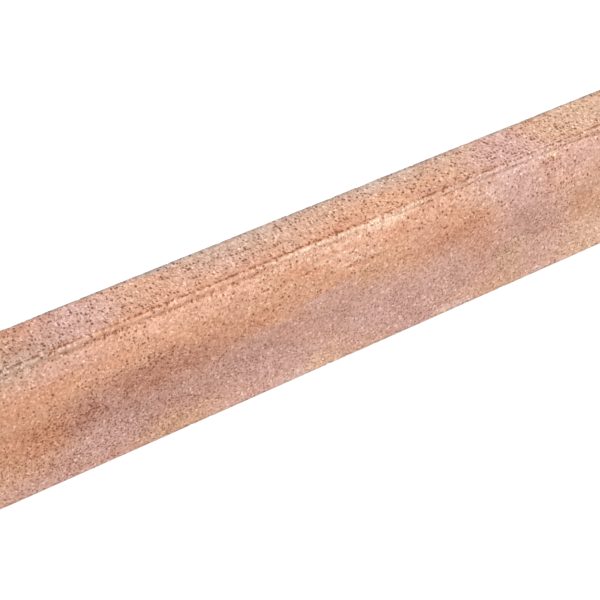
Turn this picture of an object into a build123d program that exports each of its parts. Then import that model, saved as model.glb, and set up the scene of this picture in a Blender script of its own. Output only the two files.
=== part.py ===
"""A straight concrete kerb stone, pressed in one piece.

The stone is pressed lying on its back in a steel mould box. The press head shapes the front
face: a plain upright lower part, then a batter that bends gently back, then a narrow land
beside the box wall. The box walls draw the top, the bed and the two ends, and the back lies
on the casting board.

Millimetres. X runs along the stone, Y from front to back and Z up. The origin is at the
middle of the bed.
"""

import os

from build123d import *

# Overall size of the stone
LENGTH = 1000.0
WIDTH = 80.0
HEIGHT = 200.0

# Front face: its upright part, the batter's set-back from it, and the land under the top
UPRIGHT_HEIGHT = 115.0
BATTER_SETBACK = 15.0
LAND_HEIGHT = 9.0

# Arrises: the pressed one at the front of the top, the drawn ones, and those round the ends
PRESSED_ARRIS_RADIUS = 7.0
DRAWN_ARRIS_RADIUS = 2.0
END_ARRIS_RADIUS = 1.5

# Planes that the section and the arrises are placed from
FRONT = -WIDTH / 2
BACK = WIDTH / 2
LAND = FRONT + BATTER_SETBACK
BATTER_TOP = HEIGHT - LAND_HEIGHT


def kerb_section():
    """The stone's section as a face across its length, with its long arrises rounded."""
    bed_front = (FRONT, 0)
    batter_foot = (FRONT, UPRIGHT_HEIGHT)
    batter_head = (LAND, BATTER_TOP)
    pressed_corner = (LAND, HEIGHT)
    top_back = (BACK, HEIGHT)
    bed_back = (BACK, 0)
    outline = Curve() + [
        Line(bed_front, batter_foot),
        TangentArc(batter_foot, batter_head, tangent=(0, 1)),
        Polyline(batter_head, pressed_corner, top_back, bed_back, bed_front),
    ]
    section = make_face(outline)
    section = fillet(corners_at(section, pressed_corner), PRESSED_ARRIS_RADIUS)
    return fillet(corners_at(section, top_back, bed_back, bed_front), DRAWN_ARRIS_RADIUS)


def corners_at(section, *points):
    """The section's corners nearest to the given points."""
    return [section.vertices().sort_by_distance(point)[0] for point in points]


def kerb_stone():
    """The section drawn out to the stone's length, with the arrises round both ends eased."""
    stone = extrude(Plane.YZ * kerb_section(), LENGTH / 2, both=True)
    ends = stone.faces().filter_by(Axis.X)
    return fillet(ends.edges(), END_ARRIS_RADIUS)


def main():
    os.makedirs("parts", exist_ok=True)
    export_step(kerb_stone(), "parts/kerb_stone.step")


main()
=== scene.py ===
"""Looks of the concrete kerb stone: its cast surface, its blended pigments and a plain studio.

Metres, in the frame of the part: X along the stone, Y from front to back and Z up.
Colours are linear.
"""

import math
from typing import NamedTuple

import bpy
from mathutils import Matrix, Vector, geometry, noise


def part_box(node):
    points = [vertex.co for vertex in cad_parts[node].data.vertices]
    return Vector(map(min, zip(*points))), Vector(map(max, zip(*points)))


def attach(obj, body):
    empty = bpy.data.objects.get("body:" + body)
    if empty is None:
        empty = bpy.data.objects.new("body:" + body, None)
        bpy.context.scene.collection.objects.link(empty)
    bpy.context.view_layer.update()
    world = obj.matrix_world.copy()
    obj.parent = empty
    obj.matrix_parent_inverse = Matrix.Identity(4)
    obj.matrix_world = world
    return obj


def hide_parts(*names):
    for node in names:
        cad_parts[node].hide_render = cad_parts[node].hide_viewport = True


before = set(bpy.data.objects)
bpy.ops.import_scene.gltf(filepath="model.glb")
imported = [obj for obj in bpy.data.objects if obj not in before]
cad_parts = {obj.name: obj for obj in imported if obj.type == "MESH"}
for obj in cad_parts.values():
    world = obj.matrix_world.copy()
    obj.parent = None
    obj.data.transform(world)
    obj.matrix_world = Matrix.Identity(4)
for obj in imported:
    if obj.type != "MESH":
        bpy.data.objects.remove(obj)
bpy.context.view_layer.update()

# The stone's box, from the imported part
NODE = "kerb_stone"
LOW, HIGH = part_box(NODE)
LENGTH = HIGH.x - LOW.x
FRONT = LOW.y
BACK = HIGH.y
BED = LOW.z
TOP = HIGH.z

# Section between those planes
UPRIGHT_HEIGHT = 0.115
BATTER_SETBACK = 0.015
LAND_HEIGHT = 0.009
PRESSED_ARRIS_RADIUS = 0.007
DRAWN_ARRIS_RADIUS = 0.002
END_ARRIS_RADIUS = 0.0015

LAND = FRONT + BATTER_SETBACK
BATTER_FOOT = BED + UPRIGHT_HEIGHT
BATTER_HEAD = TOP - LAND_HEIGHT
BATTER_RISE = BATTER_HEAD - BATTER_FOOT
BATTER_RADIUS = (BATTER_RISE**2 + BATTER_SETBACK**2) / (2 * BATTER_SETBACK)
BATTER_TILT = math.asin(BATTER_RISE / BATTER_RADIUS)
TOP_FRONT = LAND + PRESSED_ARRIS_RADIUS

# Mesh: its spacing on the seen faces, and on the bed and the back, which take every other column
FINE = 0.002
COARSE = 0.004
COARSE_STEP = 2

# Closer rows by the seam of the top and the front, the steps round the arrises, and the grid on the ends
SEAM_SPACING = 0.0008
SEAM_STRIP = 0.004
ARRIS_STEPS = 4
PRESSED_ARRIS_STEPS = 10
END_GRID = 0.003


class Row(NamedTuple):
    """A line of points along the stone.

    It has its place in the section, the way out there, its face, and the columns from point to point.
    """

    y: float
    z: float
    out_y: float
    out_z: float
    face: str
    step: int


class Station(NamedTuple):
    """A section along the stone: its place, how far it is drawn in, and its lean towards the end."""

    x: float
    inset: float
    lean: float


def straight(start, end, out, face, spacing, step=1):
    """Rows along a straight run of the section, without its last point."""
    count = max(1, round(math.dist(start, end) / spacing))
    rows = []
    for i in range(count):
        share = i / count
        y = start[0] + share * (end[0] - start[0])
        z = start[1] + share * (end[1] - start[1])
        rows.append(Row(y, z, out[0], out[1], face, step))
    return rows


def rounded(centre, radius, first_deg, last_deg, face, count, step=1):
    """Rows round an arc of the section, without its last point."""
    rows = []
    for i in range(count):
        angle = math.radians(first_deg + i / count * (last_deg - first_deg))
        out = (math.cos(angle), math.sin(angle))
        rows.append(Row(centre[0] + radius * out[0], centre[1] + radius * out[1], *out, face, step))
    return rows


def girth_rows():
    """The section's rows: over the top from the back, down the front, under the bed and up the back."""
    r = DRAWN_ARRIS_RADIUS
    pressed = PRESSED_ARRIS_RADIUS
    seam = TOP_FRONT + SEAM_STRIP
    batter_centre = (FRONT + BATTER_RADIUS, BATTER_FOOT)
    batter_from = 180 - math.degrees(BATTER_TILT)
    batter_rows = round(BATTER_RADIUS * BATTER_TILT / FINE)
    return [
        *rounded((BACK - r, TOP - r), r, 0, 90, "back arris", ARRIS_STEPS),
        *straight((BACK - r, TOP), (seam, TOP), (0, 1), "top", FINE),
        *straight((seam, TOP), (TOP_FRONT, TOP), (0, 1), "top", SEAM_SPACING),
        *rounded((TOP_FRONT, TOP - pressed), pressed, 90, 180, "pressed arris", PRESSED_ARRIS_STEPS),
        *straight((LAND, TOP - pressed), (LAND, BATTER_HEAD), (-1, 0), "land", SEAM_SPACING),
        *rounded(batter_centre, BATTER_RADIUS, batter_from, 180, "batter", batter_rows),
        *straight((FRONT, BATTER_FOOT), (FRONT, BED + r), (-1, 0), "upright", FINE),
        *rounded((FRONT + r, BED + r), r, 180, 270, "front arris", ARRIS_STEPS),
        *straight((FRONT + r, BED), (BACK - r, BED), (0, -1), "bed", COARSE, COARSE_STEP),
        *rounded((BACK - r, BED + r), r, 270, 360, "bed arris", ARRIS_STEPS, COARSE_STEP),
        *straight((BACK, BED + r), (BACK, TOP - r), (1, 0), "back", COARSE, COARSE_STEP),
    ]


def stations():
    """The sections along the stone: the rounding of one end, the plain length, and the other end."""
    r = END_ARRIS_RADIUS
    start = LOW.x + r
    count = COARSE_STEP * round((LENGTH - 2 * r) / FINE / COARSE_STEP)
    left = []
    for i in range(ARRIS_STEPS):
        angle = math.pi / 2 * i / ARRIS_STEPS
        left.append(Station(LOW.x + r - r * math.cos(angle), r - r * math.sin(angle), -math.cos(angle)))
    plain = [Station(start + (LENGTH - 2 * r) * i / count, 0, 0) for i in range(count + 1)]
    right = [Station(LOW.x + HIGH.x - s.x, s.inset, -s.lean) for s in reversed(left)]
    return left + plain + right


class Relief(NamedTuple):
    """How one way of casting leaves a face: its swell, and its pits."""

    swell: float
    swell_size: float
    pit_depth: float
    pit_spacing: float
    pit_share: float


DRAWN = Relief(swell=0.0004, swell_size=0.018, pit_depth=0.0012, pit_spacing=0.0055, pit_share=0.7)
PRESSED = Relief(swell=0.00015, swell_size=0.03, pit_depth=0.0008, pit_spacing=0.0085, pit_share=0.4)
BOARD = Relief(swell=0.0002, swell_size=0.06, pit_depth=0.0015, pit_spacing=0.02, pit_share=0.35)

RELIEF_OF_FACE = {
    "back arris": DRAWN,
    "top": DRAWN,
    "pressed arris": PRESSED,
    "land": PRESSED,
    "batter": PRESSED,
    "upright": PRESSED,
    "front arris": PRESSED,
    "bed": DRAWN,
    "bed arris": DRAWN,
    "back": BOARD,
    "end": DRAWN,
}

# Rough noise: its layers in the swell and in the chips, and how they fall off and get finer
SWELL_LAYERS = 2
CHIP_LAYERS = 3
LAYER_FALL = 1.0
LAYER_STEP = 2.0

# Pits: half width of a middling one as a share of the spacing, the smallest as a share of it, and walls
PIT_REACH_SHARE = 0.32
SMALLEST_PIT_SHARE = 0.5
PIT_STEEPNESS = 1.4
PIT_SEED = 7.3


class Drag(NamedTuple):
    """A line that the mould dragged along the top or the front, strong over one stretch of it.

    Its place is measured from front to back on the top, and upwards on the front.
    """

    side: str
    place: float
    half_width: float
    depth: float
    strong_from: float
    strong_to: float
    weak_share: float
    tone: float


# On the top: the line along the pressed arris, and two faint ones behind it. On the front: the crease
# at the foot of the land, which runs lower on the left, and two faint lines on the batter
DRAGS = (
    Drag("top", TOP_FRONT - 0.0030, 0.0027, 0.0012, -0.26, 0.12, 0.85, 0.95),
    Drag("top", TOP_FRONT + 0.0013, 0.0016, 0.0008, 0.16, 0.42, 0.0, 0.6),
    Drag("top", TOP_FRONT + 0.0009, 0.0016, 0.0008, -0.50, -0.34, 0.0, 0.5),
    Drag("front", BATTER_HEAD - 0.0024, 0.0046, 0.0010, -0.45, -0.10, 0.0, 0.5),
    Drag("front", BATTER_HEAD - 0.0004, 0.0028, 0.0008, 0.10, 0.50, 0.0, 0.4),
    Drag("front", BATTER_HEAD - 0.0260, 0.0030, 0.0003, -0.08, 0.00, 0.0, 0.35),
    Drag("front", BATTER_HEAD - 0.0410, 0.0030, 0.0003, -0.02, 0.08, 0.0, 0.35),
)
DRAG_FACES = {"top": ("top", "pressed arris"), "front": ("land", "batter")}
DRAG_WANDER = 0.0006
DRAG_WANDER_SIZE = 0.03
DRAG_FADE = 0.12
DRAG_SEED = 400

# Broken bits along the arrises: their size, how rough the arris has to be for one, and how they cut in
CHIPPED_ARRISES = ((BACK, TOP), (FRONT, BED), (BACK, BED))
CHIP_DEPTH = 0.0013
CHIP_REACH = 0.003
CHIP_SIZE = 0.017
CHIP_LEVEL = 0.52
CHIP_BITE = 2.5
END_CHIP_BITE = 2.0
CHIP_STEEPNESS = 1.5
CHIP_SEED = 40


def clamp(value):
    """A value kept from 0 to 1."""
    return min(1.0, max(0.0, value))


def smooth(value):
    """An even S from 0 to 1."""
    value = clamp(value)
    return value * value * (3 - 2 * value)


def rough(point, layers):
    """Rough noise, from about -1 to 1."""
    return noise.fractal(point, LAYER_FALL, LAYER_STEP, layers)


def pit(point, relief):
    """How deep the pits are at a point: 0 on the face, 1 in the middle of a pit."""
    distances, centres = noise.voronoi(point / relief.pit_spacing)
    pick = abs(noise.cell(centres[0] * PIT_SEED))
    if pick > relief.pit_share:
        return 0.0
    reach = PIT_REACH_SHARE * (SMALLEST_PIT_SHARE + pick / relief.pit_share)
    return smooth(PIT_STEEPNESS * (1 - distances[0] / reach))


def drag_line(point, drag):
    """How deep a drag line is at a point: 0 beside it, 1 in its middle where it is strong."""
    wander = DRAG_WANDER * noise.noise(Vector((point.x / DRAG_WANDER_SIZE, DRAG_SEED * drag.place, 0)))
    across = abs((point.y if drag.side == "top" else point.z) - drag.place + wander)
    inside = min(point.x - drag.strong_from, drag.strong_to - point.x)
    strength = drag.weak_share + (1 - drag.weak_share) * smooth(0.5 + inside / DRAG_FADE)
    return smooth(1 - across / drag.half_width) * strength


def chip(point):
    """How much of an arris is broken away near a point."""
    depth = 0.0
    for y, z in CHIPPED_ARRISES:
        near = 1 - math.hypot(point.y - y, point.z - z) / CHIP_REACH
        if near > 0:
            level = rough(point / CHIP_SIZE + Vector((y, z, 0)) * CHIP_SEED, CHIP_LAYERS)
            depth += smooth(near * CHIP_STEEPNESS) * clamp((level - CHIP_LEVEL) * CHIP_BITE)
    near_end = 1 - min(point.x - LOW.x, HIGH.x - point.x) / CHIP_REACH
    if near_end > 0:
        level = rough(point / CHIP_SIZE, CHIP_LAYERS)
        depth += smooth(near_end * CHIP_STEEPNESS) * clamp((level - CHIP_LEVEL) * END_CHIP_BITE)
    return min(depth, 1.0)


def carve(point, face):
    """How deep the relief goes into the plain stone at a point, and its part in pits and chips."""
    relief = RELIEF_OF_FACE[face]
    hollow = relief.pit_depth * pit(point, relief) + CHIP_DEPTH * chip(point)
    swell = (1 + rough(point / relief.swell_size, SWELL_LAYERS)) / 2
    depth = hollow + relief.swell * clamp(swell)
    for drag in DRAGS:
        if face in DRAG_FACES[drag.side]:
            depth += drag.depth * drag_line(point, drag)
    return depth, hollow


class StoneMesh:
    """Points with the depth of their hollows, and polygons with their faces and places on the map."""

    def __init__(self):
        self.points = []
        self.hollows = []
        self.polygons = []
        self.faces = []
        self.places = []

    def add_point(self, point, out, face):
        """A point of the plain stone, sunk by the relief there; gives its number."""
        depth, hollow = carve(point, face)
        self.points.append(point - out * depth)
        self.hollows.append(hollow)
        return len(self.points) - 1

    def add_polygon(self, corners, face, places):
        """A polygon between numbered points, with the place of each corner on the map."""
        self.polygons.append(corners)
        self.faces.append(face)
        self.places.append(places)


def girth_points(made, rows, sections):
    """One dictionary for each row: the section's number to the point there."""
    first_plain = ARRIS_STEPS
    last_plain = len(sections) - 1 - ARRIS_STEPS
    lines = []
    for row in rows:
        line = {}
        for i, section in enumerate(sections):
            plain = first_plain <= i <= last_plain
            if plain and (i - first_plain) % row.step:
                continue
            y = row.y - row.out_y * section.inset
            z = row.z - row.out_z * section.inset
            upright = math.sqrt(1 - section.lean**2)
            out = Vector((section.lean, row.out_y * upright, row.out_z * upright))
            line[i] = made.add_point(Vector((section.x, y, z)), out, row.face)
        lines.append(line)
    return lines


# Unwrapped map: the girth takes this share of its height, and the two ends lie side by side above it
GIRTH_MAP_SHARE = 0.9
END_MAP_SHARE = 0.5
MAP_MARGIN = 0.005


def girth_polygons(made, rows, sections, lines):
    """Faces from row to row; where one row has fewer points, a face takes in all of its neighbour's."""
    lengths = [0.0]
    for a, b in zip(rows, rows[1:] + rows[:1]):
        lengths.append(lengths[-1] + math.dist((a.y, a.z), (b.y, b.z)))
    heights = [MAP_MARGIN + (GIRTH_MAP_SHARE - MAP_MARGIN) * s / lengths[-1] for s in lengths]
    widths = [MAP_MARGIN + (1 - 2 * MAP_MARGIN) * (s.x - LOW.x) / LENGTH for s in sections]
    for i, row in enumerate(rows):
        here = lines[i]
        there = lines[(i + 1) % len(rows)]
        stops = sorted(here if len(here) < len(there) else there)
        for a, b in zip(stops, stops[1:]):
            down = [k for k in range(b, a - 1, -1) if k in here]
            up = [k for k in range(a, b + 1) if k in there]
            corners = [here[k] for k in down] + [there[k] for k in up]
            places = [(widths[k], heights[i]) for k in down] + [(widths[k], heights[i + 1]) for k in up]
            made.add_polygon(corners, row.face, places)


def front_at(z):
    """How far forward the front face is at a height."""
    if z > BATTER_HEAD:
        return LAND
    if z < BATTER_FOOT:
        return FRONT
    return FRONT + BATTER_RADIUS - math.sqrt(BATTER_RADIUS**2 - (z - BATTER_FOOT)**2)


def end_grid():
    """Points inside an end face, clear of its arrises, with every other line set half a step along."""
    margin = END_ARRIS_RADIUS + DRAWN_ARRIS_RADIUS
    inside = []
    for j in range(1, round((TOP - BED) / END_GRID)):
        z = BED + j * END_GRID
        for i in range(1, round((BACK - FRONT) / END_GRID)):
            y = FRONT + (i + j % 2 / 2) * END_GRID
            if BED + margin < z < TOP - margin and front_at(z) + margin < y < BACK - margin:
                inside.append(Vector((y, z)))
    return inside


def end_place(point, out_x):
    """Where a point of an end face, across and up, lies on the unwrapped map."""
    across = (point.x - FRONT) / (BACK - FRONT)
    up = (point.y - BED) / (TOP - BED)
    start = MAP_MARGIN if out_x < 0 else END_MAP_SHARE + MAP_MARGIN
    width = END_MAP_SHARE - 2 * MAP_MARGIN
    height = 1 - GIRTH_MAP_SHARE - 2 * MAP_MARGIN
    return (start + up * width, GIRTH_MAP_SHARE + MAP_MARGIN + across * height)


# Joining up an end face: triangles inside the rim alone, and how near two points are the same
INSIDE_RIM = 1
SAME_POINT = 1e-7


def end_cap(made, rim, x, out_x):
    """An end face: a grid of points inside the rim of the last section, joined up with it."""
    inside = end_grid()
    spread = [Vector((made.points[i].y, made.points[i].z)) for i in rim] + inside
    out = Vector((out_x, 0, 0))
    ids = list(rim) + [made.add_point(Vector((x, *point)), out, "end") for point in inside]
    outline = list(range(len(rim)))
    joined = geometry.delaunay_2d_cdt(spread, [], [outline], INSIDE_RIM, SAME_POINT)
    _, _, triangles, sources, *_ = joined
    for triangle in triangles:
        corners = [sources[k][0] for k in triangle]
        if out_x < 0:
            corners.reverse()
        places = [end_place(spread[k], out_x) for k in corners]
        made.add_polygon([ids[k] for k in corners], "end", places)


def gathered_stone():
    """The stone's girth and its two ends, gathered into one closed mesh."""
    made = StoneMesh()
    rows = girth_rows()
    sections = stations()
    lines = girth_points(made, rows, sections)
    girth_polygons(made, rows, sections, lines)
    end_cap(made, [line[0] for line in lines], LOW.x, -1)
    end_cap(made, [line[len(sections) - 1] for line in lines], HIGH.x, 1)
    return made


FINISH_OF_RELIEF = {DRAWN: "drawn", PRESSED: "pressed", BOARD: "board"}
MILLIMETRES = 1000


def kerb_stone_piece(materials):
    """The stone as one closed mesh with its cast relief, and a finish for each way of casting."""
    made = gathered_stone()
    mesh = bpy.data.meshes.new("kerb_stone_cast")
    mesh.from_pydata(made.points, [], made.polygons)
    hollow = mesh.attributes.new("hollow", "FLOAT", "POINT")
    hollow.data.foreach_set("value", [MILLIMETRES * depth for depth in made.hollows])
    layer = mesh.uv_layers.new(name="OFBake")
    layer.data.foreach_set("uv", [n for places in made.places for place in places for n in place])
    for material in materials.values():
        mesh.materials.append(material)
    order = list(materials)
    slots = [order.index(FINISH_OF_RELIEF[RELIEF_OF_FACE[face]]) for face in made.faces]
    mesh.polygons.foreach_set("material_index", slots)
    mesh.polygons.foreach_set("use_smooth", [True] * len(made.polygons))
    mesh.update()
    piece = bpy.data.objects.new("kerb_stone_cast", mesh)
    bpy.context.scene.collection.objects.link(piece)
    return piece


# Pigments of the blended mix, with the lime of its bloom, which is also a painted highlight along the
# land, and the grey of a painted shade along two arrises
SAND = (0.82, 0.445, 0.285, 1)
ORANGE = (0.77, 0.37, 0.225, 1)
PEACH = (0.87, 0.485, 0.335, 1)
MAUVE = (0.665, 0.376, 0.304, 1)
ROSE = (0.82, 0.495, 0.402, 1)
LILAC = (0.75, 0.455, 0.388, 1)
STRAW = (0.79, 0.505, 0.35, 1)
BUFF = (0.80, 0.475, 0.32, 1)
PALE_BUFF = (0.90, 0.58, 0.41, 1)
PALE_PEACH = (0.95, 0.53, 0.365, 1)
OCHRE = (0.70, 0.41, 0.28, 1)
BROWN = (0.64, 0.31, 0.215, 1)
ASH = (0.68, 0.465, 0.365, 1)
DUN = (0.60, 0.40, 0.30, 1)
SLATE = (0.50, 0.42, 0.385, 1)
PALE_ROSE = (0.88, 0.60, 0.51, 1)
# Pale lime of the bloom and the scuffs, also a painted highlight along the land
LIME_AND_HIGHLIGHT = (1.0, 0.69, 0.505, 1)
# Grey of the painted shade along the back top arris and the front bed arris
ARRIS_SHADE = (0.38, 0.31, 0.28, 1)


class Patch(NamedTuple):
    """A soft patch of the stone: its middle, its reach each way and its strength."""

    middle: tuple
    reach: tuple
    strength: float


class Cloud(NamedTuple):
    """A soft patch of one pigment in the mix."""

    pigment: tuple
    middle: tuple
    reach: tuple
    strength: float


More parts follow.
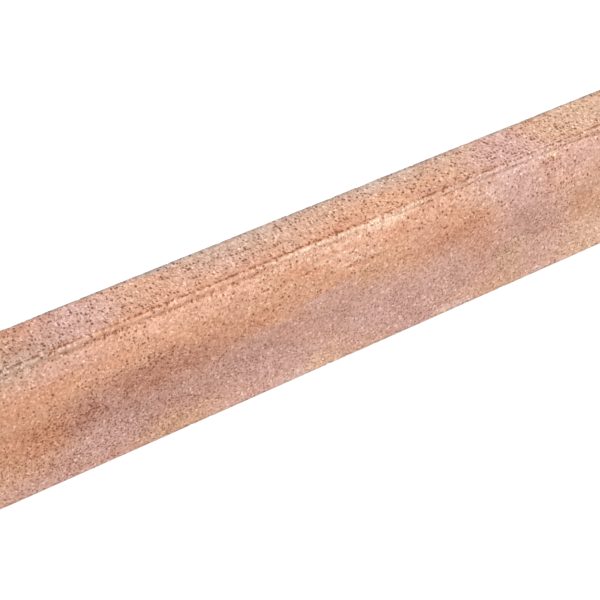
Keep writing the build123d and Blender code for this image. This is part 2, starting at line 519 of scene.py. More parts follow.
CLOUDS = (
    # Broad washes over the top and the right of the front
    Cloud(ASH, (0.0, 0.012, 0.205), (0.70, 0.06, 0.020), 0.4),
    Cloud(ROSE, (0.36, -0.04, 0.080), (0.40, 0.06, 0.120), 0.6),
    # Batter and land
    Cloud(PEACH, (-0.22, -0.03, 0.180), (0.22, 0.05, 0.028), 0.9),
    Cloud(PEACH, (0.10, -0.03, 0.180), (0.20, 0.05, 0.028), 0.8),
    Cloud(PALE_PEACH, (-0.16, -0.025, 0.194), (0.16, 0.010, 0.010), 0.6),
    Cloud(ROSE, (-0.38, -0.03, 0.178), (0.08, 0.05, 0.020), 0.6),
    Cloud(ORANGE, (-0.43, -0.04, 0.150), (0.13, 0.04, 0.030), 0.8),
    Cloud(BROWN, (-0.38, -0.035, 0.168), (0.14, 0.03, 0.022), 0.3),
    Cloud(ORANGE, (-0.30, -0.035, 0.158), (0.04, 0.03, 0.016), 0.8),
    Cloud(ORANGE, (-0.20, -0.035, 0.148), (0.07, 0.03, 0.022), 0.7),
    Cloud(ORANGE, (-0.035, -0.035, 0.172), (0.035, 0.03, 0.016), 0.8),
    Cloud(ORANGE, (-0.005, -0.04, 0.138), (0.04, 0.03, 0.016), 0.8),
    Cloud(PEACH, (0.03, -0.03, 0.162), (0.06, 0.03, 0.020), 0.9),
    Cloud(ORANGE, (0.165, -0.04, 0.132), (0.11, 0.04, 0.030), 0.9),
    Cloud(BROWN, (0.165, -0.04, 0.126), (0.06, 0.04, 0.016), 0.45),
    Cloud(ORANGE, (-0.12, -0.04, 0.128), (0.12, 0.04, 0.030), 0.8),
    Cloud(BROWN, (-0.14, -0.035, 0.160), (0.025, 0.03, 0.030), 0.4),
    Cloud(ORANGE, (0.085, -0.035, 0.168), (0.035, 0.03, 0.020), 0.7),
    Cloud(ORANGE, (0.19, -0.035, 0.162), (0.045, 0.03, 0.020), 0.5),
    Cloud(MAUVE, (0.13, -0.04, 0.143), (0.04, 0.03, 0.018), 0.2),
    Cloud(ORANGE, (-0.02, -0.030, 0.179), (0.10, 0.020, 0.010), 0.4),
    # Top
    Cloud(OCHRE, (-0.45, 0.015, 0.200), (0.06, 0.06, 0.03), 0.9),
    Cloud(MAUVE, (-0.390, -0.004, 0.202), (0.05, 0.025, 0.03), 0.8),
    Cloud(LILAC, (-0.340, 0.012, 0.202), (0.075, 0.06, 0.03), 1.0),
    Cloud(MAUVE, (-0.350, -0.010, 0.202), (0.06, 0.02, 0.03), 0.8),
    Cloud(ASH, (-0.10, 0.046, 0.202), (0.16, 0.044, 0.05), 1.0),
    Cloud(ASH, (0.12, 0.044, 0.202), (0.20, 0.038, 0.04), 1.0),
    Cloud(SAND, (0.10, -0.008, 0.202), (0.15, 0.022, 0.02), 0.9),
    Cloud(BROWN, (-0.12, -0.016, 0.202), (0.08, 0.016, 0.02), 0.5),
    Cloud(BROWN, (-0.22, 0.002, 0.202), (0.09, 0.030, 0.02), 0.3),
    Cloud(BROWN, (0.17, -0.016, 0.202), (0.06, 0.014, 0.02), 0.5),
    Cloud(ORANGE, (0.02, -0.015, 0.202), (0.08, 0.014, 0.02), 0.6),
    Cloud(BROWN, (-0.40, 0.034, 0.202), (0.05, 0.020, 0.02), 0.7),
    Cloud(LILAC, (0.265, 0.014, 0.202), (0.06, 0.03, 0.03), 0.7),
    Cloud(SLATE, (-0.24, 0.040, 0.200), (0.09, 0.013, 0.015), 0.8),
    Cloud(BROWN, (-0.115, 0.040, 0.200), (0.025, 0.012, 0.012), 0.8),
    Cloud(DUN, (-0.43, -0.006, 0.202), (0.08, 0.030, 0.020), 0.7),
    Cloud(BROWN, (-0.410, 0.004, 0.202), (0.06, 0.040, 0.020), 0.45),
    Cloud(LILAC, (-0.350, -0.014, 0.202), (0.045, 0.012, 0.012), 0.5),
    Cloud(ORANGE, (-0.30, -0.023, 0.197), (0.09, 0.008, 0.006), 0.6),
    Cloud(SLATE, (-0.46, -0.020, 0.199), (0.12, 0.008, 0.006), 0.35),
    Cloud(BROWN, (-0.265, -0.012, 0.202), (0.035, 0.016, 0.020), 0.4),
    Cloud(DUN, (-0.45, -0.024, 0.194), (0.15, 0.020, 0.020), 0.4),
    Cloud(ASH, (-0.45, -0.024, 0.194), (0.15, 0.020, 0.020), 0.6),
    # Upright part
    Cloud(ORANGE, (-0.42, -0.04, 0.088), (0.09, 0.04, 0.050), 1.0),
    Cloud(MAUVE, (-0.26, -0.04, 0.055), (0.16, 0.05, 0.075), 1.0),
    Cloud(BROWN, (-0.25, -0.04, 0.116), (0.17, 0.04, 0.038), 0.9),
    Cloud(BROWN, (-0.31, -0.04, 0.112), (0.03, 0.04, 0.020), 0.7),
    Cloud(LILAC, (-0.19, -0.04, 0.092), (0.07, 0.04, 0.022), 0.2),
    Cloud(MAUVE, (-0.34, -0.04, 0.090), (0.06, 0.04, 0.032), 0.9),
    Cloud(BROWN, (-0.285, -0.04, 0.088), (0.05, 0.04, 0.022), 0.3),
    Cloud(BROWN, (-0.425, -0.04, 0.115), (0.05, 0.04, 0.020), 0.2),
    Cloud(ORANGE, (-0.445, -0.04, 0.105), (0.055, 0.04, 0.032), 0.6),
    Cloud(BROWN, (-0.36, -0.04, 0.092), (0.05, 0.04, 0.022), 0.8),
    Cloud(BROWN, (-0.23, -0.04, 0.045), (0.06, 0.04, 0.025), 0.5),
    Cloud(LILAC, (-0.33, -0.04, 0.038), (0.09, 0.04, 0.038), 0.8),
    Cloud(ORANGE, (-0.435, -0.04, 0.098), (0.07, 0.04, 0.030), 0.6),
    Cloud(MAUVE, (-0.12, -0.04, 0.060), (0.10, 0.05, 0.065), 1.0),
    Cloud(LILAC, (-0.10, -0.04, 0.035), (0.07, 0.04, 0.035), 0.8),
    Cloud(MAUVE, (0.02, -0.04, 0.080), (0.13, 0.05, 0.050), 0.8),
    Cloud(LILAC, (0.10, -0.04, 0.050), (0.15, 0.05, 0.060), 1.0),
    Cloud(LILAC, (-0.02, -0.04, 0.122), (0.07, 0.04, 0.022), 0.6),
    Cloud(ROSE, (0.07, -0.04, 0.088), (0.07, 0.04, 0.025), 0.6),
    Cloud(LILAC, (-0.05, -0.04, 0.032), (0.06, 0.04, 0.026), 0.8),
    Cloud(BROWN, (-0.068, -0.04, 0.087), (0.025, 0.04, 0.028), 0.4),
    Cloud(BROWN, (0.174, -0.04, 0.108), (0.04, 0.04, 0.022), 0.45),
    Cloud(MAUVE, (0.20, -0.04, 0.065), (0.05, 0.05, 0.045), 0.6),
    Cloud(ORANGE, (0.225, -0.04, 0.100), (0.05, 0.04, 0.030), 0.5),
    Cloud(BROWN, (0.260, -0.04, 0.048), (0.07, 0.04, 0.045), 0.45),
    # Lower edge, paler towards the bottom
    Cloud(ROSE, (0.15, -0.04, 0.020), (0.95, 0.05, 0.075), 0.45),
    Cloud(LILAC, (-0.43, -0.04, 0.006), (0.10, 0.03, 0.035), 0.6),
    Cloud(BUFF, (-0.225, -0.04, 0.012), (0.08, 0.03, 0.034), 1.0),
    Cloud(ROSE, (-0.12, -0.04, 0.006), (0.10, 0.03, 0.030), 1.0),
    Cloud(PALE_ROSE, (-0.065, -0.04, 0.003), (0.04, 0.03, 0.022), 0.9),
    Cloud(PALE_BUFF, (-0.010, -0.04, 0.003), (0.05, 0.03, 0.028), 0.9),
    Cloud(LILAC, (0.14, -0.04, 0.006), (0.07, 0.03, 0.026), 0.9),
    Cloud(PALE_ROSE, (0.20, -0.04, 0.003), (0.05, 0.03, 0.014), 0.7),
    Cloud(BUFF, (0.27, -0.04, 0.006), (0.07, 0.03, 0.030), 0.9),
    # Towards the right end
    Cloud(STRAW, (0.43, 0.015, 0.202), (0.12, 0.07, 0.03), 1.0),
    Cloud(BUFF, (0.45, -0.02, 0.085), (0.12, 0.06, 0.090), 1.0),
    Cloud(OCHRE, (0.40, -0.04, 0.110), (0.06, 0.04, 0.030), 0.6),
    Cloud(SAND, (0.42, -0.04, 0.085), (0.08, 0.04, 0.045), 0.6),
    Cloud(PALE_BUFF, (0.41, -0.04, 0.045), (0.09, 0.04, 0.045), 0.55),
    Cloud(ROSE, (0.41, -0.03, 0.172), (0.13, 0.04, 0.034), 0.9),
    Cloud(OCHRE, (0.425, -0.035, 0.162), (0.025, 0.03, 0.020), 0.5),
    Cloud(LILAC, (0.285, 0.0, 0.165), (0.085, 0.10, 0.11), 1.0),
    Cloud(LILAC, (0.30, 0.000, 0.202), (0.06, 0.030, 0.020), 0.6),
    Cloud(PALE_ROSE, (0.30, -0.025, 0.195), (0.14, 0.016, 0.014), 0.75),
    Cloud(PALE_ROSE, (0.25, -0.03, 0.178), (0.08, 0.04, 0.030), 0.3),
    Cloud(MAUVE, (0.305, -0.04, 0.092), (0.05, 0.05, 0.048), 0.8),
    Cloud(STRAW, (0.285, -0.04, 0.052), (0.05, 0.03, 0.045), 0.7),
    Cloud(ROSE, (0.345, -0.04, 0.035), (0.05, 0.03, 0.040), 0.7),
    Cloud(PALE_ROSE, (0.345, -0.04, 0.004), (0.05, 0.03, 0.016), 0.7),
    Cloud(ORANGE, (0.385, -0.04, 0.098), (0.04, 0.03, 0.030), 0.4),
    Cloud(PALE_BUFF, (0.43, -0.04, 0.016), (0.10, 0.03, 0.045), 0.9),
    # Hidden sides
    Cloud(PEACH, (-0.36, 0.04, 0.150), (0.20, 0.03, 0.060), 0.8),
    Cloud(BROWN, (0.12, 0.04, 0.130), (0.28, 0.03, 0.045), 0.7),
    Cloud(ORANGE, (-0.08, 0.04, 0.120), (0.22, 0.03, 0.050), 0.7),
    Cloud(ROSE, (0.40, 0.04, 0.140), (0.16, 0.03, 0.070), 0.8),
    Cloud(MAUVE, (-0.22, 0.04, 0.055), (0.30, 0.03, 0.065), 0.8),
    Cloud(LILAC, (-0.10, 0.04, 0.030), (0.16, 0.03, 0.045), 0.6),
    Cloud(MAUVE, (0.22, 0.04, 0.060), (0.24, 0.03, 0.055), 0.7),
    Cloud(LILAC, (0.34, 0.04, 0.030), (0.20, 0.03, 0.045), 0.8),
    Cloud(BUFF, (-0.42, 0.04, 0.020), (0.14, 0.03, 0.045), 0.9),
    Cloud(BUFF, (0.08, 0.04, 0.008), (0.16, 0.03, 0.030), 0.8),
    Cloud(BROWN, (-0.50, 0.01, 0.110), (0.05, 0.04, 0.050), 0.7),
    Cloud(MAUVE, (-0.50, 0.00, 0.045), (0.05, 0.06, 0.050), 0.8),
    Cloud(MAUVE, (0.50, -0.01, 0.060), (0.05, 0.05, 0.050), 0.8),
    Cloud(ORANGE, (0.50, 0.01, 0.130), (0.05, 0.06, 0.045), 0.7),
)


class Pattern(NamedTuple):
    """Even noise: the size of its features, its layers of detail, and how rough they are."""

    size: float
    detail: float
    roughness: float


class Ease(NamedTuple):
    """A range of values, and what its two ends turn into."""

    low: float
    high: float
    at_low: float = 0.0
    at_high: float = 1.0


COLOUR = "NodeSocketColor"
FLOAT = "NodeSocketFloat"

# At a scale of 1 a feature of the noise is about half a unit wide; its colours lie round this middle
NOISE_FEATURE = 0.5
NOISE_MIDDLE = (0.5, 0.5, 0.5)


def add(tree, kind, inputs=None, **settings):
    """A new node with its settings, and its inputs either set or linked."""
    node = tree.nodes.new(kind)
    for name, value in settings.items():
        setattr(node, name, value)
    for key, value in (inputs or {}).items():
        if isinstance(value, bpy.types.NodeSocket):
            tree.links.new(value, node.inputs[key])
        else:
            node.inputs[key].default_value = value
    return node


def calc(tree, operation, *values):
    """One sum on values."""
    return add(tree, "ShaderNodeMath", dict(enumerate(values)), operation=operation).outputs[0]


def vector(tree, operation, *values):
    """One sum on vectors."""
    return add(tree, "ShaderNodeVectorMath", dict(enumerate(values)), operation=operation).outputs[0]


def length(tree, value):
    """How long a vector is."""
    return add(tree, "ShaderNodeVectorMath", {0: value}, operation="LENGTH").outputs["Value"]


def between(tree, value, low, high, at_low=0.0, at_high=1.0):
    """A value eased from one range to another."""
    inputs = {"Value": value, "From Min": low, "From Max": high, "To Min": at_low, "To Max": at_high}
    return add(tree, "ShaderNodeMapRange", inputs, interpolation_type="SMOOTHSTEP").outputs["Result"]


def mixed(tree, share, first, second, blend="MIX"):
    """One colour over another."""
    inputs = {0: share, 6: first, 7: second}
    return add(tree, "ShaderNodeMix", inputs, data_type="RGBA", blend_type=blend).outputs[2]


def new_group(name, inputs, outputs):
    """A node group with its sockets; gives the tree, what goes in and what comes out."""
    tree = bpy.data.node_groups.new(name, "ShaderNodeTree")
    for way, sockets in (("INPUT", inputs), ("OUTPUT", outputs)):
        for socket, kind in sockets.items():
            tree.interface.new_socket(name=socket, in_out=way, socket_type=kind)
    return tree, tree.nodes.new("NodeGroupInput").outputs, tree.nodes.new("NodeGroupOutput").inputs


def place_on_stone(tree):
    """The point's place in the stone's own frame, in metres."""
    return add(tree, "ShaderNodeTexCoord").outputs["Object"]


def noise_at(tree, place, pattern):
    """A pattern of noise at a place: its value from 0 to 1, and its colour."""
    inputs = {"Vector": place, "Scale": NOISE_FEATURE / pattern.size}
    inputs |= {"Detail": pattern.detail, "Roughness": pattern.roughness}
    return add(tree, "ShaderNodeTexNoise", inputs).outputs


def strayed(tree, place, pattern, reach):
    """A place moved about by noise."""
    stray = vector(tree, "SUBTRACT", noise_at(tree, place, pattern)["Color"], NOISE_MIDDLE)
    return vector(tree, "MULTIPLY_ADD", stray, reach, place)


def drawn_place(tree, place, draw):
    """A place squeezed from front to back, so that a pattern there comes out longer that way."""
    squeeze = add(tree, "ShaderNodeCombineXYZ", {"X": 1.0, "Y": draw, "Z": 1.0}).outputs[0]
    return vector(tree, "DIVIDE", place, squeeze)


# A cloud or a patch is full in this share of its reach
CLOUD_CORE_SHARE = 0.25


def cloud_cover(tree, place, cloud):
    """How much of a cloud or a patch there is at a place, falling off from its core to its reach."""
    scale = tuple(1 / r for r in cloud.reach)
    shift = tuple(-m / r for m, r in zip(cloud.middle, cloud.reach))
    distance = length(tree, vector(tree, "MULTIPLY_ADD", place, scale, shift))
    return between(tree, distance, CLOUD_CORE_SHARE, 1.0, cloud.strength, 0.0)


# Wash under the clouds, drawn out along the stone: buff where its noise is high, rose where it is low
WASH = Pattern(size=0.035, detail=3.0, roughness=0.5)
WASH_SQUEEZE = (0.25, 1, 1)
BUFF_WASH = Ease(0.5, 0.72)
ROSE_WASH = Ease(0.5, 0.28, 0.0, 0.7)

# The way the mix was laid: its clouds are ragged at the edges, and frayed grain by grain
RAGGED = Pattern(size=0.05, detail=4.0, roughness=0.6)
RAGGED_REACH = (0.08, 0.04, 0.04)
FRAYED = Pattern(size=0.006, detail=2.0, roughness=0.6)
FRAYED_REACH = (0.016, 0.012, 0.012)


def pigment_group():
    """Blended pigments: clouds over a sand-coloured wash, ragged at the edges."""
    tree, _, result = new_group("Blended pigments", {}, {"Color": COLOUR})
    place = place_on_stone(tree)
    wash = noise_at(tree, vector(tree, "MULTIPLY", place, WASH_SQUEEZE), WASH)["Fac"]
    colour = mixed(tree, between(tree, wash, *BUFF_WASH), SAND, BUFF)
    colour = mixed(tree, between(tree, wash, *ROSE_WASH), colour, ROSE)
    ragged = strayed(tree, place, RAGGED, RAGGED_REACH)
    frayed = strayed(tree, ragged, FRAYED, FRAYED_REACH)
    for cloud in CLOUDS:
        colour = mixed(tree, cloud_cover(tree, frayed, cloud), colour, cloud.pigment)
    tree.links.new(colour, result["Color"])
    return tree


# Sand grain: the softening of its tones, the loose mottle that it lies in, and the tone of pale grains
GRAIN_DETAIL = 2.0
GRAIN_ROUGHNESS = 0.6
MOTTLE = Pattern(size=0.011, detail=3.0, roughness=0.6)
MOTTLE_TONE = 0.45
PALE_GRAIN_TONE = 0.45


def grain_group():
    """Sand grain: every grain has its own tone in a loose mottle, and a few are pale."""
    inputs = {"Size": FLOAT, "Contrast": FLOAT, "Pale Share": FLOAT, "Draw": FLOAT}
    tree, given, result = new_group("Sand grain", inputs, {"Tone": FLOAT, "Height": FLOAT})
    place = place_on_stone(tree)
    scale = calc(tree, "DIVIDE", 1.0, given["Size"])
    inputs = {"Vector": drawn_place(tree, place, given["Draw"]), "Scale": scale}
    grains = add(tree, "ShaderNodeTexVoronoi", inputs).outputs
    picks = add(tree, "ShaderNodeSeparateColor", {0: grains["Color"]}).outputs
    inputs |= {"Detail": GRAIN_DETAIL, "Roughness": GRAIN_ROUGHNESS}
    soft = add(tree, "ShaderNodeTexNoise", inputs).outputs["Fac"]
    tone = calc(tree, "SUBTRACT", calc(tree, "ADD", picks["Red"], soft), 1.0)
    tone = calc(tree, "MULTIPLY", tone, given["Contrast"])
    mottle = noise_at(tree, place, MOTTLE)["Fac"]
    mottle = calc(tree, "MULTIPLY_ADD", mottle, MOTTLE_TONE, -MOTTLE_TONE / 2)
    pale = calc(tree, "LESS_THAN", picks["Green"], given["Pale Share"])
    pale = calc(tree, "MULTIPLY_ADD", pale, PALE_GRAIN_TONE, mottle)
    tree.links.new(calc(tree, "ADD", tone, pale), result["Tone"])
    dome = calc(tree, "SUBTRACT", 1.0, grains["Distance"])
    tree.links.new(calc(tree, "ADD", tone, dome), result["Height"])
    return tree


# Pores: how ragged they are, how they crowd, their sizes as shares of the largest, and their floors
PORE_RAG = Pattern(size=0.0012, detail=1.0, roughness=0.6)
PORE_RAG_REACH = (0.0012, 0.0012, 0.0012)
CROWD = Pattern(size=0.028, detail=3.0, roughness=0.6)
CROWDING = Ease(0.35, 0.65, 0.35, 1.65)
PORE_SIZE_SHARES = Ease(0.0, 1.0, 0.45, 1.0)
PORE_FLOOR_SHARE = 0.55

# Places where the mix was dry: the pores are closer together there, and wider
DRY_WIDENING = 0.15
DRY_PATCHES = (
    Patch((0.0, -0.04, 0.035), (1.50, 0.05, 0.090), 0.5),
    Patch((-0.34, -0.04, 0.062), (0.28, 0.05, 0.090), 0.85),
    Patch((-0.37, -0.04, 0.100), (0.08, 0.05, 0.036), 1.2),
    Patch((-0.27, -0.04, 0.125), (0.09, 0.05, 0.035), 0.5),
    Patch((0.20, -0.04, 0.135), (0.06, 0.05, 0.030), 0.4),
    Patch((0.32, -0.04, 0.080), (0.12, 0.05, 0.050), 0.9),
    Patch((0.24, -0.035, 0.165), (0.30, 0.05, 0.045), 0.4),
    Patch((-0.38, 0.01, 0.200), (0.13, 0.05, 0.020), 0.15),
)


def pore_group():
    """Pores: ragged round holes of mixed sizes in a share of the cells, closer together in places."""
    inputs = {"Spacing": FLOAT, "Share": FLOAT, "Reach Share": FLOAT, "Draw": FLOAT}
    tree, given, result = new_group("Pores", inputs, {"Pore": FLOAT})
    place = place_on_stone(tree)
    crowd = between(tree, noise_at(tree, place, CROWD)["Fac"], *CROWDING)
    dry = 0.0
    for patch in DRY_PATCHES:
        dry = calc(tree, "ADD", cloud_cover(tree, place, patch), dry)
    share = calc(tree, "MULTIPLY", given["Share"], calc(tree, "ADD", crowd, dry))
    ragged = strayed(tree, place, PORE_RAG, PORE_RAG_REACH)
    scale = calc(tree, "DIVIDE", 1.0, given["Spacing"])
    inputs = {"Vector": drawn_place(tree, ragged, given["Draw"]), "Scale": scale}
    cells = add(tree, "ShaderNodeTexVoronoi", inputs).outputs
    picks = add(tree, "ShaderNodeSeparateColor", {0: cells["Color"]}).outputs
    rim = calc(tree, "MULTIPLY", between(tree, picks["Green"], *PORE_SIZE_SHARES), given["Reach Share"])
    rim = calc(tree, "MULTIPLY", rim, calc(tree, "MULTIPLY_ADD", dry, DRY_WIDENING, 1.0))
    hole = between(tree, cells["Distance"], rim, calc(tree, "MULTIPLY", rim, PORE_FLOOR_SHARE))
    open_here = calc(tree, "LESS_THAN", picks["Red"], share)
    tree.links.new(calc(tree, "MULTIPLY", hole, open_here), result["Pore"])
    return tree


# Dust and painted shade: the depths in millimetres at which they start and are full, and the beads that
# they lie in
DUST_AND_SHADE_DEPTHS = Ease(0.35, 1.5)
BEADS = Pattern(size=0.0028, detail=1.0, roughness=0.5)
BEADING = Ease(0.35, 0.6, 0.35, 1.0)


def hollow_group():
    """Shade and dust in the hollows of the cast relief, by their depth in millimetres."""
    tree, _, result = new_group("Dust and painted shade in hollows", {}, {"Hollow": FLOAT})
    depth = add(tree, "ShaderNodeAttribute", attribute_name="hollow").outputs["Fac"]
    beads = noise_at(tree, place_on_stone(tree), BEADS)["Fac"]
    dust_and_shade = calc(tree, "MULTIPLY", between(tree, depth, *DUST_AND_SHADE_DEPTHS), between(tree, beads, *BEADING))
    tree.links.new(dust_and_shade, result["Hollow"])
    return tree


# Dirt and painted shade in the drag lines and the crease: their grit, their dashes, and how far below
# the top or behind the land they can lie
LINE_GRIT = Pattern(size=0.0026, detail=1.0, roughness=0.5)
LINE_BEADING = Ease(0.36, 0.64, 0.2, 1.25)
LINE_DASHES = Pattern(size=0.012, detail=2.0, roughness=0.5)
LINE_DASHING = Ease(0.3, 0.6, 0.65, 1.0)
LINE_REACH = 0.008


def drag_group():
    """Dirt and painted shade in the drag lines and the crease at the foot of the land: strings of dark
    beads, thicker in places.
    """
    tree, _, result = new_group("Dirt and painted shade in drag lines", {}, {"Line": FLOAT})
    place = place_on_stone(tree)
    x, y, z = add(tree, "ShaderNodeSeparateXYZ", {0: place}).outputs
    grit = noise_at(tree, place, LINE_GRIT)["Fac"]
    wander = calc(tree, "MULTIPLY_ADD", grit, 2 * DRAG_WANDER, -DRAG_WANDER)
    across = {"top": calc(tree, "ADD", y, wander), "front": calc(tree, "ADD", z, wander)}
    near = {
        "top": between(tree, z, TOP - LINE_REACH, TOP - LINE_REACH / 2),
        "front": between(tree, y, LAND + LINE_REACH, LAND + LINE_REACH / 2),
    }
    fade = DRAG_FADE / 2
    lines = 0.0
    for drag in DRAGS:
        aside = calc(tree, "ABSOLUTE", calc(tree, "SUBTRACT", across[drag.side], drag.place))
        line = calc(tree, "MULTIPLY", between(tree, aside, drag.half_width, 0.0), near[drag.side])
        left = between(tree, x, drag.strong_from - fade, drag.strong_from + fade, drag.weak_share)
        right = between(tree, x, drag.strong_to + fade, drag.strong_to - fade, drag.weak_share)
        strength = calc(tree, "MULTIPLY", calc(tree, "MINIMUM", left, right), drag.tone)
        lines = calc(tree, "MAXIMUM", calc(tree, "MULTIPLY", line, strength), lines)
    beads = between(tree, grit, *LINE_BEADING)
    dashes = between(tree, noise_at(tree, place, LINE_DASHES)["Fac"], *LINE_DASHING)
    lines = calc(tree, "MULTIPLY", calc(tree, "MULTIPLY", lines, beads), dashes)
    tree.links.new(lines, result["Line"])
    return tree


# How a grain's tone tells on red, green and blue: dark grains are redder and pale ones greyer
TONE_POWERS = (0.7, 1.0, 1.2)


def toned_group():
    """A colour made darker or paler by a tone from -1 to 1."""
    tree, given, result = new_group("Toned", {"Color": COLOUR, "Tone": FLOAT}, {"Color": COLOUR})
    factor = vector(tree, "POWER", calc(tree, "ADD", given["Tone"], 1.0), TONE_POWERS)
    tree.links.new(mixed(tree, 1.0, given["Color"], factor, "MULTIPLY"), result["Color"])
    return tree


class ArrisShadeLine(NamedTuple):
    """An arris with a thin line of painted shade: its place in the section, and how much the painted
    shade covers.
    """

    y: float
    z: float
    share: float


# The painted arris shade is full in a core of its reach, and broken in places
ARRIS_SHADE_LINES = (ArrisShadeLine(BACK, TOP, 0.85), ArrisShadeLine(FRONT, BED, 0.255))
ARRIS_SHADE_REACH = 0.0075
ARRIS_SHADE_CORE = ARRIS_SHADE_REACH / 3
ARRIS_SHADE_BREAKS = Pattern(size=0.02, detail=3.0, roughness=0.6)
ARRIS_SHADE_BREAKING = Ease(0.3, 0.6, 0.3, 1.0)


def arris_shade_group():
    """Painted arris shade: a thin grey line of painted shade along two arrises."""
    tree, given, result = new_group("Painted arris shade", {"Color": COLOUR}, {"Color": COLOUR})
    place = place_on_stone(tree)
    cover = 0.0
    for line in ARRIS_SHADE_LINES:
        distance = length(tree, vector(tree, "MULTIPLY_ADD", place, (0, 1, 1), (0, -line.y, -line.z)))
        arris_shade = between(tree, distance, ARRIS_SHADE_REACH, ARRIS_SHADE_CORE, 0.0, line.share)
        cover = calc(tree, "ADD", arris_shade, cover)
    broken = between(tree, noise_at(tree, place, ARRIS_SHADE_BREAKS)["Fac"], *ARRIS_SHADE_BREAKING)
    cover = calc(tree, "MULTIPLY", cover, broken)
    tree.links.new(mixed(tree, cover, given["Color"], ARRIS_SHADE), result["Color"])
    return tree


# Places where the face is scuffed or has a lime bloom; the band along the land and the nose is worn pale
# and also a painted highlight that lightens the land
SCUFFS_AND_HIGHLIGHT = (
    # A pale band along the land and the nose: worn, and also a painted highlight
    Patch((0.03, -0.0250, 0.1938), (0.20, 0.005, 0.0045), 1.0),
    Patch((-0.04, -0.0248, 0.1950), (0.09, 0.004, 0.004), 1.0),
    Patch((0.345, -0.026, 0.187), (0.014, 0.008, 0.008), 0.9),
    Patch((-0.03, -0.0280, 0.1840), (0.14, 0.008, 0.006), 0.6),
    Patch((0.080, -0.026, 0.190), (0.06, 0.010, 0.012), 0.9),
    Patch((0.125, -0.025, 0.194), (0.035, 0.006, 0.007), 0.8),
    Patch((0.00, -0.030, 0.170), (0.06, 0.012, 0.005), 0.5),
    Patch((0.04, -0.034, 0.157), (0.06, 0.012, 0.005), 0.4),
    Patch((0.170, -0.040, 0.004), (0.016, 0.012, 0.010), 1.0),
    Patch((0.392, -0.008, 0.200), (0.020, 0.0025, 0.004), 1.0),
)

# The bloom and the painted highlight lie in fine streaks, drawn out along the stone, and their places
# are ragged
STREAKS = Pattern(size=0.0022, detail=3.0, roughness=0.65)
STREAK_SQUEEZE = (0.06, 1, 1)
STREAK_EDGES = Ease(0.28, 0.50)
PALE_PATCH_RAG_REACH = (0.012, 0.004, 0.004)


def bloom_and_highlight_group():
    """Lime bloom, scuffs and a painted highlight along the land: pale streaks along the stone in a few
    places.
    """
    tree, given, result = new_group("Lime efflorescence and painted highlight", {"Color": COLOUR, "Share": FLOAT}, {"Color": COLOUR})
    place = place_on_stone(tree)
    ragged = strayed(tree, place, FRAYED, PALE_PATCH_RAG_REACH)
    cover = 0.0
    for pale_patch in SCUFFS_AND_HIGHLIGHT:
        cover = calc(tree, "MAXIMUM", cloud_cover(tree, ragged, pale_patch), cover)
    streaks = noise_at(tree, vector(tree, "MULTIPLY", place, STREAK_SQUEEZE), STREAKS)["Fac"]
    cover = calc(tree, "MULTIPLY", cover, between(tree, streaks, *STREAK_EDGES))
    cover = calc(tree, "MULTIPLY", cover, given["Share"])
    tree.links.new(mixed(tree, cover, given["Color"], LIME_AND_HIGHLIGHT), result["Color"])
    return tree


class Finish(NamedTuple):
    """One finish of the concrete, as values for the shared groups.

    The draw is how many times longer the grain and the pores are from front to back.
    """

    grain_size: float
    grain_contrast: float
    pale_grain_share: float
    pore_spacing: float
    pore_reach_share: float
    pore_share: float
    fine_pore_share: float
    pore_tone: float
    bloom_and_highlight_share: float
    bump: float
    draw: float


FINISHES = {
    "drawn": Finish(
        grain_size=0.0023,
        grain_contrast=0.55,
        pale_grain_share=0.07,
        pore_spacing=0.0041,
        pore_reach_share=0.50,
        pore_share=0.75,
        fine_pore_share=0.55,
        pore_tone=0.80,
        bloom_and_highlight_share=1.0,
        bump=0.0007,
        draw=1.4,
    ),
    "pressed": Finish(
        grain_size=0.0025,
        grain_contrast=0.53,
        pale_grain_share=0.05,
        pore_spacing=0.0046,
        pore_reach_share=0.48,
        pore_share=0.38,
        fine_pore_share=0.45,
        pore_tone=0.65,
        bloom_and_highlight_share=1.0,
        bump=0.0003,
        draw=1.0,
    ),
    "board": Finish(
        grain_size=0.0025,
        grain_contrast=0.45,
        pale_grain_share=0.06,
        pore_spacing=0.0052,
        pore_reach_share=0.46,
        pore_share=0.25,
        fine_pore_share=0.30,
        pore_tone=0.65,
        bloom_and_highlight_share=0.5,
        bump=0.0003,
        draw=1.0,
    ),
}

# Fine pores between the others: their spacing and depth as shares of the others', and their reach
FINE_SPACING_SHARE = 0.6
FINE_DEPTH_SHARE = 0.6
FINE_REACH_SHARE = 0.4

# How much darker the fine pores, the hollows with their dust and painted shade, and the drag lines with
# their dirt and painted shade are, and the darkest tone of all
FINE_PORE_TONE = 0.5
HOLLOW_DUST_AND_SHADE_TONE = 0.7
LINE_DIRT_AND_SHADE_TONE = 0.8
DARKEST_TONE = -0.75

# Surface: its roughness by the height of the grain, its gloss, and the bump of grain and pores
ROUGHNESS = Ease(0.3, 1.0, 0.82, 0.96)
GLOSS = 0.25
GRAIN_HEIGHT_SHARE = 0.4
BUMP_STRENGTH = 0.8


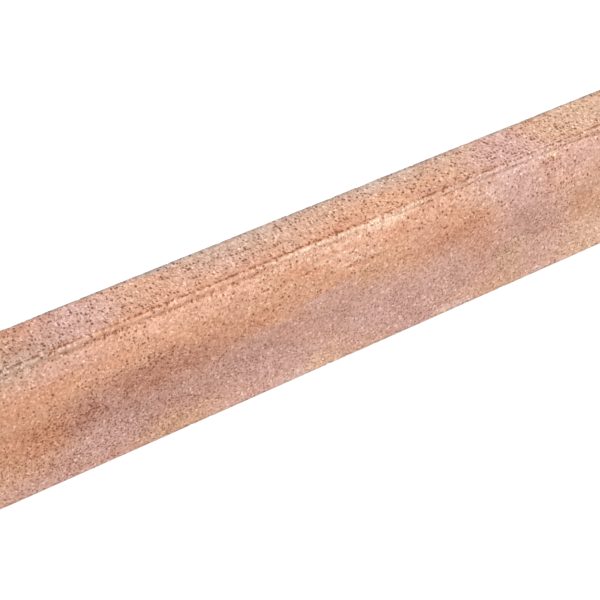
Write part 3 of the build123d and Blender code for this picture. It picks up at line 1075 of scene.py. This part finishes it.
def concrete(name, finish, groups):
    """Concrete with one way of casting: pigments, grain, pores, dust and painted shade in the hollows
    and the drag lines, lime bloom with a painted highlight, and a painted arris shade.
    """
    material = bpy.data.materials.new(name + " concrete")
    material.use_nodes = True
    tree = material.node_tree
    shader = tree.nodes["Principled BSDF"]

    def use(group, inputs=None):
        return add(tree, "ShaderNodeGroup", inputs, node_tree=groups[group]).outputs

    def pores(spacing, share, reach_share):
        inputs = {"Spacing": spacing, "Share": share, "Reach Share": reach_share, "Draw": finish.draw}
        return use("pore", inputs)["Pore"]

    inputs = {"Size": finish.grain_size, "Contrast": finish.grain_contrast}
    inputs |= {"Pale Share": finish.pale_grain_share, "Draw": finish.draw}
    grain = use("grain", inputs)
    pore = pores(finish.pore_spacing, finish.pore_share, finish.pore_reach_share)
    fine = pores(FINE_SPACING_SHARE * finish.pore_spacing, finish.fine_pore_share, FINE_REACH_SHARE)

    tone = calc(tree, "MULTIPLY_ADD", pore, -finish.pore_tone, grain["Tone"])
    tone = calc(tree, "MULTIPLY_ADD", fine, -FINE_PORE_TONE, tone)
    # Dust and painted shade in the hollows of the relief, by their depth
    tone = calc(tree, "MULTIPLY_ADD", use("hollow")["Hollow"], -HOLLOW_DUST_AND_SHADE_TONE, tone)
    # Dirt and painted shade in the drag lines and the crease
    tone = calc(tree, "MULTIPLY_ADD", use("drag")["Line"], -LINE_DIRT_AND_SHADE_TONE, tone)
    tone = calc(tree, "MAXIMUM", tone, DARKEST_TONE)

    colour = use("pigment")["Color"]
    # Lime bloom and scuffs, with a painted highlight along the land
    colour = use("bloom_and_highlight", {"Color": colour, "Share": finish.bloom_and_highlight_share})["Color"]
    # Painted shade along the back top arris and the front bed arris
    colour = use("arris_shade", {"Color": colour})["Color"]
    colour = use("toned", {"Color": colour, "Tone": tone})["Color"]
    tree.links.new(colour, shader.inputs["Base Color"])

    tree.links.new(between(tree, grain["Height"], *ROUGHNESS), shader.inputs["Roughness"])
    shader.inputs["Specular IOR Level"].default_value = GLOSS
    holes = calc(tree, "MAXIMUM", pore, calc(tree, "MULTIPLY", fine, FINE_DEPTH_SHARE))
    height = calc(tree, "SUBTRACT", calc(tree, "MULTIPLY", grain["Height"], GRAIN_HEIGHT_SHARE), holes)
    inputs = {"Height": height, "Distance": finish.bump, "Strength": BUMP_STRENGTH}
    tree.links.new(add(tree, "ShaderNodeBump", inputs).outputs["Normal"], shader.inputs["Normal"])
    return material


def concretes():
    """The three finishes of the one mix."""
    groups = {
        "pigment": pigment_group(),
        "grain": grain_group(),
        "pore": pore_group(),
        "hollow": hollow_group(),
        "drag": drag_group(),
        "bloom_and_highlight": bloom_and_highlight_group(),
        "arris_shade": arris_shade_group(),
        "toned": toned_group(),
    }
    return {name: concrete(name, finish, groups) for name, finish in FINISHES.items()}


# Studio: a white floor, an even sky, a broad lamp high up in front and a weaker one behind
FLOOR_SIZE = 30.0
FLOOR_COLOUR = (0.5, 0.5, 0.5, 1)
FLOOR_GLOW = 0.6
SKY_LIGHT = 0.20
WHITE = (1, 1, 1, 1)


class Lamp(NamedTuple):
    """A broad lamp: the way to it, the light that it throws square on, and its spread in degrees."""

    towards: tuple
    level: float
    spread: float


LAMPS = {
    "key_lamp": Lamp((-0.22, -0.52, 0.74), 0.83, 40),
    "back_lamp": Lamp((0.50, 0.80, 0.26), 0.48, 40),
}


def is_seen(tree):
    """1 for what the camera sees, straight or in a gloss or a glass."""
    path = add(tree, "ShaderNodeLightPath").outputs
    seen = calc(tree, "MAXIMUM", path["Is Camera Ray"], path["Is Glossy Ray"])
    return calc(tree, "MAXIMUM", seen, path["Is Transmission Ray"])


def floor():
    """A wide floor that is white to the eye and still takes the stone's shadow."""
    half = FLOOR_SIZE / 2
    mesh = bpy.data.meshes.new("floor")
    corners = [(-half, -half, BED), (half, -half, BED), (half, half, BED), (-half, half, BED)]
    mesh.from_pydata(corners, [], [(0, 1, 2, 3)])
    material = bpy.data.materials.new("white floor")
    material.use_nodes = True
    tree = material.node_tree
    shader = tree.nodes["Principled BSDF"]
    shader.inputs["Base Color"].default_value = FLOOR_COLOUR
    shader.inputs["Roughness"].default_value = 1.0
    shader.inputs["Specular IOR Level"].default_value = 0.0
    level = calc(tree, "MULTIPLY", is_seen(tree), FLOOR_GLOW)
    glow = add(tree, "ShaderNodeEmission", {"Color": WHITE, "Strength": level}).outputs[0]
    both = add(tree, "ShaderNodeAddShader", {0: shader.outputs[0], 1: glow}).outputs[0]
    tree.links.new(both, tree.nodes["Material Output"].inputs["Surface"])
    mesh.materials.append(material)
    piece = bpy.data.objects.new("floor", mesh)
    bpy.context.scene.collection.objects.link(piece)


def sky():
    """An even sky: it lights the stone at its own level, and is white to the eye."""
    world = bpy.data.worlds.new("studio sky")
    world.use_nodes = True
    tree = world.node_tree
    level = between(tree, is_seen(tree), 0.0, 1.0, SKY_LIGHT, 1.0)
    background = tree.nodes["Background"]
    background.inputs["Color"].default_value = WHITE
    tree.links.new(level, background.inputs["Strength"])
    bpy.context.scene.world = world


def lamps():
    """The broad lamps."""
    for name, lamp in LAMPS.items():
        data = bpy.data.lights.new(name, "SUN")
        data.energy = math.pi * lamp.level
        data.angle = math.radians(lamp.spread)
        piece = bpy.data.objects.new(name, data)
        piece.rotation_euler = Vector(lamp.towards).to_track_quat("Z", "Y").to_euler()
        bpy.context.scene.collection.objects.link(piece)


# Camera: upright, looking down on the front and the top, with both ends just out of the picture
CAMERA_AZIMUTH = -32.4
CAMERA_ELEVATION = 42.0
CAMERA_DISTANCE = 2.5839
CAMERA_TARGET = (0.0623, 0.1423, -0.0613)
CAMERA_LENS = 111.55
SENSOR_WIDTH = 36.0


def camera():
    """The camera at the photograph's viewing angle."""
    azimuth = math.radians(CAMERA_AZIMUTH)
    elevation = math.radians(CAMERA_ELEVATION)
    flat = math.cos(elevation)
    back = Vector((math.sin(azimuth) * flat, -math.cos(azimuth) * flat, math.sin(elevation)))
    data = bpy.data.cameras.new("camera")
    data.lens = CAMERA_LENS
    data.sensor_width = SENSOR_WIDTH
    piece = bpy.data.objects.new("camera", data)
    piece.location = Vector(CAMERA_TARGET) + back * CAMERA_DISTANCE
    piece.rotation_euler = back.to_track_quat("Z", "Y").to_euler()
    bpy.context.scene.collection.objects.link(piece)
    bpy.context.scene.camera = piece


def main():
    stone = kerb_stone_piece(concretes())
    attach(stone, "root")
    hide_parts(NODE)
    floor()
    sky()
    lamps()
    camera()
    bpy.context.scene.view_settings.view_transform = "Standard"


main()
